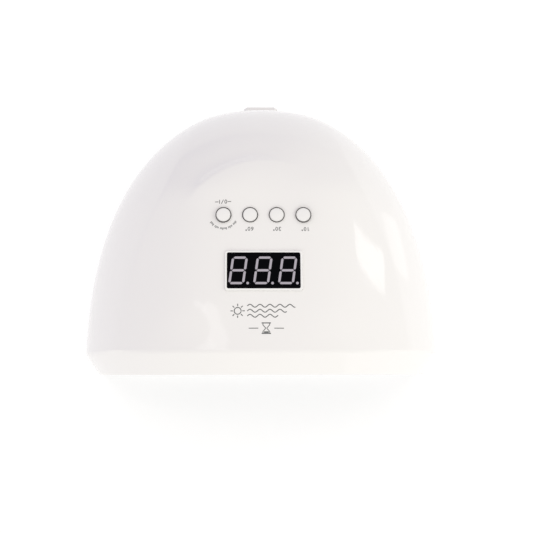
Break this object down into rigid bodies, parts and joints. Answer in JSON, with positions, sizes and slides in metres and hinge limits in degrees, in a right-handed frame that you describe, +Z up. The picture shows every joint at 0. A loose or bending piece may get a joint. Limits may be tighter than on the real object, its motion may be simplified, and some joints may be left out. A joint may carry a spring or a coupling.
{
  "type": "uv curing lamp",
  "caption": "Dome-shaped tabletop UV curing lamp with a slanted hand opening, push buttons, a timer display and a lift-off floor plate.",
  "frame": {"origin": "centre of the bounding box at table level, under the rubber feet", "axes": "+Z up, -Y out of the hand opening, +Y towards the power inlet, +X to the right seen from the opening"},
  "size_m": [0.1986, 0.1785, 0.0957],
  "materials": {
    "white_abs": "gloss",
    "bezel_plastic": "gloss",
    "cap_plastic": "gloss",
    "ring_chrome": "polished",
    "display_black": "gloss",
    "segment_grey": "satin",
    "black_plastic": "satin",
    "capacitor_sleeve": "gloss",
    "board_green": "gloss",
    "connector_cream": "satin",
    "screw_steel": "satin",
    "liner_reflective": "satin",
    "floor_film": "satin",
    "board_white": "gloss",
    "led_body": "satin",
    "lens_epoxy": "gloss",
    "ir_clear": "gloss",
    "ir_dark": "gloss",
    "contact_nickel": "polished",
    "power_lead_pvc": "satin",
    "led_lead_pvc": "satin",
    "sensor_lead_pvc": "satin",
    "magnet_nickel": "polished",
    "keeper_steel": "satin",
    "foot_rubber": "matte"
  },
  "bodies": {
    "floor": {"floor_plate": "white_abs", "floor_reflector": "floor_film", "keeper_discs": "keeper_steel", "rubber_feet": "foot_rubber"},
    "housing": {"outer_shell": "white_abs", "display_bezel": "bezel_plastic", "display_module": "display_black", "display_segments": "segment_grey", "button_rings": "ring_chrome", "tact_switches": "black_plastic", "control_board": "board_green", "microcontroller": "black_plastic", "capacitors": "capacitor_sleeve", "driver_transistors": "black_plastic", "board_connectors": "connector_cream", "board_screws": "screw_steel", "tunnel_liner": "liner_reflective", "ceiling_led_board": "board_white", "left_led_board": "board_white", "right_led_board": "board_white", "rear_led_board": "board_white", "ceiling_leds": "led_body", "left_leds": "led_body", "right_leds": "led_body", "rear_leds": "led_body", "ceiling_led_lenses": "lens_epoxy", "left_led_lenses": "lens_epoxy", "right_led_lenses": "lens_epoxy", "rear_led_lenses": "lens_epoxy", "led_board_screws": "screw_steel", "infrared_emitter": "ir_clear", "infrared_receiver": "ir_dark", "sensor_board": "board_green", "inlet_body": "black_plastic", "inlet_pin": "contact_nickel", "inlet_terminals": "contact_nickel", "inlet_clamp": "white_abs", "inlet_screws": "screw_steel", "power_leads": "power_lead_pvc", "led_leads": "led_lead_pvc", "sensor_leads": "sensor_lead_pvc", "case_screws": "screw_steel", "holding_magnets": "magnet_nickel"},
    "power_button": {"power_button_cap": "cap_plastic", "power_switch_plunger": "black_plastic"},
    "button_60": {"button_cap_60": "cap_plastic", "switch_plunger_60": "black_plastic"},
    "button_30": {"button_cap_30": "cap_plastic", "switch_plunger_30": "black_plastic"},
    "button_10": {"button_cap_10": "cap_plastic", "switch_plunger_10": "black_plastic"}
  },
  "joints": [
    {"name": "housing_lift", "type": "slide", "parent": "floor", "child": "housing", "axis": [0, 0, 1], "range_m": [0, 0.06]},
    {"name": "power_button_press", "type": "slide", "parent": "housing", "child": "power_button", "axis": [0, 0.0558, -0.9984], "range_m": [0, 0.0005], "stiffness_N_per_m": 300, "springref_m": -0.001},
    {"name": "button_60_press", "type": "slide", "parent": "housing", "child": "button_60", "axis": [0, 0.0558, -0.9984], "range_m": [0, 0.0005], "stiffness_N_per_m": 300, "springref_m": -0.001},
    {"name": "button_30_press", "type": "slide", "parent": "housing", "child": "button_30", "axis": [0, 0.0558, -0.9984], "range_m": [0, 0.0005], "stiffness_N_per_m": 300, "springref_m": -0.001},
    {"name": "button_10_press", "type": "slide", "parent": "housing", "child": "button_10", "axis": [0, 0.0558, -0.9984], "range_m": [0, 0.0005], "stiffness_N_per_m": 300, "springref_m": -0.001}
  ]
}
